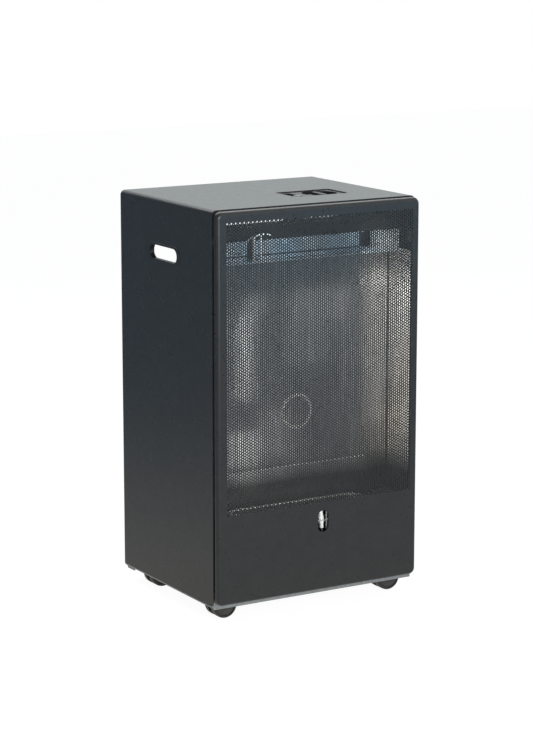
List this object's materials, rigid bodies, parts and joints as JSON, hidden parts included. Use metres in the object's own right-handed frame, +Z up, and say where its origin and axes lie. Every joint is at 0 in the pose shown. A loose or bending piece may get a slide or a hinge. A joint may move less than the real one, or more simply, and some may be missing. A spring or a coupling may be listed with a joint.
{
  "type": "portable gas cabinet heater",
  "caption": "Blue-flame gas cabinet heater: charcoal sheet-steel cabinet for a gas bottle, perforated front, pilot window, sunken control knob and igniter on top, side handles, swivel castors.",
  "frame": {"origin": "middle of the heater's base, on the floor under the castors", "axes": "+Z up, the perforated front faces -Y, +X to the right seen from the front"},
  "size_m": [0.4274, 0.3626, 0.745],
  "materials": {
    "charcoal_coat": "satin charcoal powder coat",
    "galvanised_steel": "bright zinc coated sheet",
    "stainless_steel": "brushed stainless steel",
    "black_plastic": "moulded black plastic, fine grain",
    "glossy_black_plastic": "glossy black plastic",
    "wheel_plastic": "hard dark wheel plastic",
    "cast_alloy": "die-cast alloy and soft aluminium pipe",
    "brass": "turned brass and copper",
    "white_ceramic": "glazed white ceramic",
    "lead_rubber": "silicone insulated lead"
  },
  "bodies": {
    "cabinet": {"base_tray": "galvanised_steel", "bracket_screws": "galvanised_steel", "burner_body": "stainless_steel", "burner_deck": "stainless_steel", "burner_shelf": "galvanised_steel", "cabinet_shell": "charcoal_coat", "castor_mounts": "galvanised_steel", "catch_left": "galvanised_steel", "catch_right": "galvanised_steel", "chamber_roof": "galvanised_steel", "control_bezel": "black_plastic", "deflector_band": "galvanised_steel", "electrode": "white_ceramic", "electrode_rod": "stainless_steel", "front_panel": "charcoal_coat", "front_screen": "charcoal_coat", "handle_left": "black_plastic", "handle_right": "black_plastic", "heat_shield": "galvanised_steel", "ignition_lead": "lead_rubber", "injector": "brass", "injector_bracket": "galvanised_steel", "inlet_nozzle": "brass", "inlet_nut": "brass", "lower_reflector": "galvanised_steel", "main_gas_pipe": "cast_alloy", "mixer_tube": "stainless_steel", "panel_spacers": "charcoal_coat", "piezo_igniter": "black_plastic", "pilot_burner": "stainless_steel", "pilot_pipe": "cast_alloy", "pilot_plate": "galvanised_steel", "reflector_back": "galvanised_steel", "reflector_left": "galvanised_steel", "reflector_right": "galvanised_steel", "shelf_screws": "galvanised_steel", "thermocouple": "stainless_steel", "thermocouple_lead": "brass", "top_hood": "galvanised_steel", "valve_body": "cast_alloy", "valve_bracket": "galvanised_steel"},
    "push_rod": {"valve_push_rod": "stainless_steel"},
    "knob": {"control_knob": "black_plastic", "valve_spindle": "stainless_steel"},
    "button": {"piezo_button": "glossy_black_plastic"},
    "cover": {"rear_cover": "charcoal_coat", "cover_hooks": "galvanised_steel"},
    "swivel_front_left": {"castor_housing_front_left": "black_plastic", "castor_axle_front_left": "stainless_steel"},
    "wheels_front_left": {"castor_wheels_front_left": "wheel_plastic"},
    "swivel_front_right": {"castor_housing_front_right": "black_plastic", "castor_axle_front_right": "stainless_steel"},
    "wheels_front_right": {"castor_wheels_front_right": "wheel_plastic"},
    "swivel_rear_left": {"castor_housing_rear_left": "black_plastic", "castor_axle_rear_left": "stainless_steel"},
    "wheels_rear_left": {"castor_wheels_rear_left": "wheel_plastic"},
    "swivel_rear_right": {"castor_housing_rear_right": "black_plastic", "castor_axle_rear_right": "stainless_steel"},
    "wheels_rear_right": {"castor_wheels_rear_right": "wheel_plastic"}
  },
  "joints": [
    {"name": "knob_press", "type": "slide", "parent": "cabinet", "child": "push_rod", "axis": [0, 0, -1], "range_m": [0, 0.003], "stiffness_N_per_m": 1500, "springref_m": -0.002},
    {"name": "knob_turn", "type": "hinge", "parent": "push_rod", "child": "knob", "pos_m": [0.087, -0.0361, 0.745], "axis": [0, 0, -1], "range_deg": [0, 180]},
    {"name": "ignition_press", "type": "slide", "parent": "cabinet", "child": "button", "axis": [0, 0, -1], "range_m": [0, 0.0035], "stiffness_N_per_m": 2500, "springref_m": -0.002},
    {"name": "cover_lift", "type": "slide", "parent": "cabinet", "child": "cover", "axis": [0, 0, 1], "range_m": [0, 0.03]},
    {"name": "swivel_turn_front_left", "type": "hinge", "parent": "cabinet", "child": "swivel_front_left", "pos_m": [-0.1715, -0.1268, 0.05], "axis": [0, 0, 1], "continuous": true},
    {"name": "wheel_roll_front_left", "type": "hinge", "parent": "swivel_front_left", "child": "wheels_front_left", "pos_m": [-0.1765, -0.1268, 0.024], "axis": [0, 1, 0], "continuous": true},
    {"name": "swivel_turn_front_right", "type": "hinge", "parent": "cabinet", "child": "swivel_front_right", "pos_m": [0.1715, -0.1268, 0.05], "axis": [0, 0, 1], "continuous": true},
    {"name": "wheel_roll_front_right", "type": "hinge", "parent": "swivel_front_right", "child": "wheels_front_right", "pos_m": [0.1765, -0.1268, 0.024], "axis": [0, 1, 0], "continuous": true},
    {"name": "swivel_turn_rear_left", "type": "hinge", "parent": "cabinet", "child": "swivel_rear_left", "pos_m": [-0.1715, 0.1085, 0.05], "axis": [0, 0, 1], "continuous": true},
    {"name": "wheel_roll_rear_left", "type": "hinge", "parent": "swivel_rear_left", "child": "wheels_rear_left", "pos_m": [-0.1765, 0.1085, 0.024], "axis": [0, 1, 0], "continuous": true},
    {"name": "swivel_turn_rear_right", "type": "hinge", "parent": "cabinet", "child": "swivel_rear_right", "pos_m": [0.1715, 0.1085, 0.05], "axis": [0, 0, 1], "continuous": true},
    {"name": "wheel_roll_rear_right", "type": "hinge", "parent": "swivel_rear_right", "child": "wheels_rear_right", "pos_m": [0.1765, 0.1085, 0.024], "axis": [0, 1, 0], "continuous": true}
  ]
}
